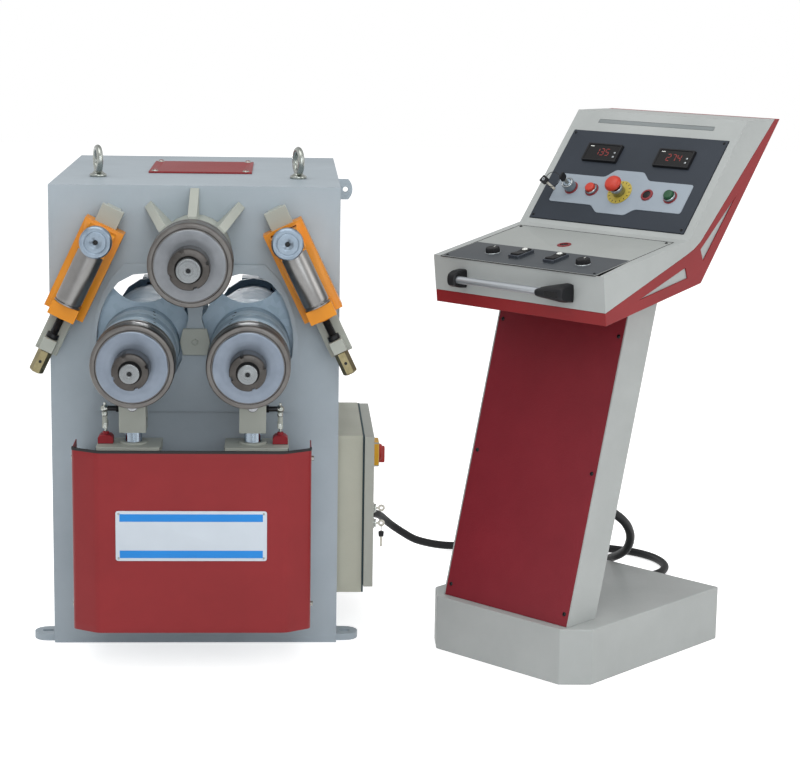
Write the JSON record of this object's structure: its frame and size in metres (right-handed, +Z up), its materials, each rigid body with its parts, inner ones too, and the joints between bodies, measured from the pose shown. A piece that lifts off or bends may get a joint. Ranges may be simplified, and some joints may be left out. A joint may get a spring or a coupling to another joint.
{
  "type": "ring roller",
  "caption": "Upright machine that bends bars and sections between hydraulically lifted rolls with side guides, and a separate leaning control console joined to it by a cable.",
  "frame": {"origin": "on the floor, at the middle of the casing's footprint", "axes": "+X to the right towards the console, +Y from the operator to the machine's back, +Z up"},
  "size_m": [1.6461, 1.1947, 1.1835],
  "materials": {
    "casing_grey": "semi-gloss grey paint",
    "cover_red": "satin dark red paint",
    "carriage_orange": "satin orange paint",
    "panel_dark": "fine textured dark grey paint",
    "machined_steel": "turned steel with a thin oil film",
    "pale_steel": "ground steel",
    "rod_chrome": "polished hard chrome",
    "black_steel": "black oxide",
    "zinc_steel": "bright zinc plate",
    "cable_black": "matt black sheath",
    "black_plastic": "matt moulded plastic",
    "red_plastic": "bright red moulded plastic",
    "green_plastic": "green moulded plastic",
    "cabinet_beige": "satin beige grey paint"
  },
  "bodies": {
    "frame": {"casing": "casing_grey", "rear_cover": "casing_grey", "pivot_pin": "casing_grey", "upper_housing": "casing_grey", "upper_drive": "black_steel", "cylinder_shelf": "casing_grey", "front_cover": "cover_red", "top_plate": "cover_red", "left_rail": "casing_grey", "right_rail": "casing_grey", "left_eyebolt": "zinc_steel", "right_eyebolt": "zinc_steel", "cabinet": "cabinet_beige", "hydraulic_unit": "panel_dark", "console_base": "casing_grey", "console_post": "casing_grey", "post_panel": "cover_red", "cable_gland": "black_plastic", "console_head": "casing_grey", "console_skirt": "cover_red", "desk_panel": "casing_grey", "instrument_panel": "panel_dark", "grip": "black_plastic", "control_cable": "cable_black"},
    "upper_spindle": {"upper_shaft": "machined_steel", "upper_roll": "machined_steel"},
    "left_swing_arm": {"left_arm": "pale_steel", "left_drive": "black_steel"},
    "left_spindle": {"left_shaft": "machined_steel", "left_roll": "machined_steel"},
    "left_lift_cylinder": {"left_cylinder": "black_steel"},
    "left_lift_rod": {"left_rod": "rod_chrome", "left_fork": "casing_grey"},
    "left_screw": {"left_lead_screw": "black_steel"},
    "left_slider": {"left_carriage": "carriage_orange"},
    "left_side_roller": {"left_guide_roller": "machined_steel"},
    "left_face_roller": {"left_guide_disc": "pale_steel"},
    "right_swing_arm": {"right_arm": "pale_steel", "right_drive": "black_steel"},
    "right_spindle": {"right_shaft": "machined_steel", "right_roll": "machined_steel"},
    "right_lift_cylinder": {"right_cylinder": "black_steel"},
    "right_lift_rod": {"right_rod": "rod_chrome", "right_fork": "casing_grey"},
    "right_screw": {"right_lead_screw": "black_steel"},
    "right_slider": {"right_carriage": "carriage_orange"},
    "right_side_roller": {"right_guide_roller": "machined_steel"},
    "right_face_roller": {"right_guide_disc": "pale_steel"},
    "door": {"cabinet_door": "cabinet_beige"},
    "main_switch": {"main_switch_handle": "red_plastic"},
    "upper_lock": {"upper_door_lock": "zinc_steel"},
    "lower_lock": {"lower_door_lock": "zinc_steel"},
    "emergency_stop": {"emergency_stop": "red_plastic"},
    "red_button": {"red_button": "red_plastic"},
    "green_button": {"green_button": "green_plastic"},
    "key": {"key_switch": "zinc_steel"},
    "left_dial": {"left_knob": "black_plastic"},
    "right_dial": {"right_knob": "black_plastic"},
    "left_toggle": {"left_rocker": "black_plastic"},
    "right_toggle": {"right_rocker": "black_plastic"}
  },
  "joints": [
    {"name": "upper_spin", "type": "hinge", "parent": "frame", "child": "upper_spindle", "pos_m": [0, -0.4, 0.886], "axis": [0, 1, 0], "continuous": true},
    {"name": "left_swing", "type": "hinge", "parent": "frame", "child": "left_swing_arm", "pos_m": [0, -0.25, 0.6875], "axis": [0, 1, 0], "range_deg": [0, 30]},
    {"name": "left_spin", "type": "hinge", "parent": "left_swing_arm", "child": "left_spindle", "pos_m": [-0.12017, -0.4, 0.67338], "axis": [0, 1, 0], "continuous": true},
    {"name": "left_cylinder_tilt", "type": "hinge", "parent": "frame", "child": "left_lift_cylinder", "pos_m": [-0.128, -0.4925, 0.13], "axis": [0, -1, 0], "range_deg": [0, 5.2]},
    {"name": "left_rod_slide", "type": "slide", "parent": "left_lift_cylinder", "child": "left_lift_rod", "axis": [0, 0, 1], "range_m": [0, 0.08]},
    {"name": "left_screw_turn", "type": "hinge", "parent": "frame", "child": "left_screw", "pos_m": [-0.3201, -0.4555, 0.67048], "axis": [-0.4305, 0, -0.9026], "range_deg": [-1620, 3150]},
    {"name": "left_carriage_slide", "type": "slide", "parent": "frame", "child": "left_slider", "axis": [0.4305, 0, 0.9026], "range_m": [-0.0175, 0.0345]},
    {"name": "left_side_roller_spin", "type": "hinge", "parent": "left_slider", "child": "left_side_roller", "pos_m": [-0.234, -0.494, 0.851], "axis": [0.4305, 0, 0.9026], "continuous": true},
    {"name": "left_face_roller_spin", "type": "hinge", "parent": "left_slider", "child": "left_face_roller", "pos_m": [-0.20042, -0.5325, 0.9214], "axis": [0, 1, 0], "continuous": true},
    {"name": "right_swing", "type": "hinge", "parent": "frame", "child": "right_swing_arm", "pos_m": [0, -0.25, 0.6875], "axis": [0, -1, 0], "range_deg": [0, 30]},
    {"name": "right_spin", "type": "hinge", "parent": "right_swing_arm", "child": "right_spindle", "pos_m": [0.12017, -0.4, 0.67338], "axis": [0, 1, 0], "continuous": true},
    {"name": "right_cylinder_tilt", "type": "hinge", "parent": "frame", "child": "right_lift_cylinder", "pos_m": [0.128, -0.4925, 0.13], "axis": [0, 1, 0], "range_deg": [0, 5.2]},
    {"name": "right_rod_slide", "type": "slide", "parent": "right_lift_cylinder", "child": "right_lift_rod", "axis": [0, 0, 1], "range_m": [0, 0.08]},
    {"name": "right_screw_turn", "type": "hinge", "parent": "frame", "child": "right_screw", "pos_m": [0.3201, -0.4555, 0.67048], "axis": [0.4305, 0, -0.9026], "range_deg": [-1620, 3150]},
    {"name": "right_carriage_slide", "type": "slide", "parent": "frame", "child": "right_slider", "axis": [-0.4305, 0, 0.9026], "range_m": [-0.0175, 0.0345]},
    {"name": "right_side_roller_spin", "type": "hinge", "parent": "right_slider", "child": "right_side_roller", "pos_m": [0.234, -0.494, 0.851], "axis": [-0.4305, 0, 0.9026], "continuous": true},
    {"name": "right_face_roller_spin", "type": "hinge", "parent": "right_slider", "child": "right_face_roller", "pos_m": [0.20042, -0.5325, 0.9214], "axis": [0, 1, 0], "continuous": true},
    {"name": "door_swing", "type": "hinge", "parent": "frame", "child": "door", "pos_m": [0.386, 0.0495, 0.29], "axis": [0, 0, 1], "range_deg": [0, 90]},
    {"name": "main_switch_turn", "type": "hinge", "parent": "door", "child": "main_switch", "pos_m": [0.413, -0.2025, 0.4], "axis": [1, 0, 0], "range_deg": [0, 90]},
    {"name": "upper_lock_turn", "type": "hinge", "parent": "door", "child": "upper_lock", "pos_m": [0.4, -0.3205, 0.297], "axis": [1, 0, 0], "range_deg": [0, 90]},
    {"name": "lower_lock_turn", "type": "hinge", "parent": "door", "child": "lower_lock", "pos_m": [0.4, -0.3205, 0.262], "axis": [1, 0, 0], "range_deg": [0, 90]},
    {"name": "emergency_stop_press", "type": "slide", "parent": "frame", "child": "emergency_stop", "axis": [0.5547, 0.5376, -0.635], "range_m": [0, 0.005]},
    {"name": "red_button_press", "type": "slide", "parent": "frame", "child": "red_button", "axis": [0.5547, 0.5376, -0.635], "range_m": [0, 0.004], "stiffness_N_per_m": 800},
    {"name": "green_button_press", "type": "slide", "parent": "frame", "child": "green_button", "axis": [0.5547, 0.5376, -0.635], "range_m": [0, 0.004], "stiffness_N_per_m": 800},
    {"name": "key_turn", "type": "hinge", "parent": "frame", "child": "key", "pos_m": [0.82638, -0.25603, 1.02895], "axis": [0.5547, 0.5376, -0.635], "range_deg": [0, 90]},
    {"name": "left_knob_turn", "type": "hinge", "parent": "frame", "child": "left_dial", "pos_m": [0.64003, -0.46447, 0.9066], "axis": [-0.1242, -0.1203, 0.9849], "range_deg": [-135, 135]},
    {"name": "right_knob_turn", "type": "hinge", "parent": "frame", "child": "right_dial", "pos_m": [0.81053, -0.64041, 0.9066], "axis": [-0.1242, -0.1203, 0.9849], "range_deg": [-45, 45]},
    {"name": "left_rocker_tip", "type": "hinge", "parent": "frame", "child": "left_toggle", "pos_m": [0.6955, -0.52072, 0.90266], "axis": [0.6959, -0.7181, 0], "range_deg": [-7, 7], "stiffness_Nm_per_rad": 0.25},
    {"name": "right_rocker_tip", "type": "hinge", "parent": "frame", "child": "right_toggle", "pos_m": [0.76092, -0.58822, 0.90266], "axis": [0.6959, -0.7181, 0], "range_deg": [-7, 7], "stiffness_Nm_per_rad": 0.25}
  ],
  "couplings": [
    {"joint": "left_spin", "follows": "upper_spin", "ratio": -1},
    {"joint": "left_cylinder_tilt", "follows": "left_swing", "ratio": 0.17027},
    {"joint": "left_rod_slide", "follows": "left_swing", "m_per_rad": 0.15128},
    {"joint": "left_screw_turn", "follows": "left_carriage_slide", "rad_per_m": 1570.8},
    {"joint": "right_spin", "follows": "upper_spin", "ratio": -1},
    {"joint": "right_cylinder_tilt", "follows": "right_swing", "ratio": 0.17027},
    {"joint": "right_rod_slide", "follows": "right_swing", "m_per_rad": 0.15128},
    {"joint": "right_screw_turn", "follows": "right_carriage_slide", "rad_per_m": 1570.8}
  ]
}
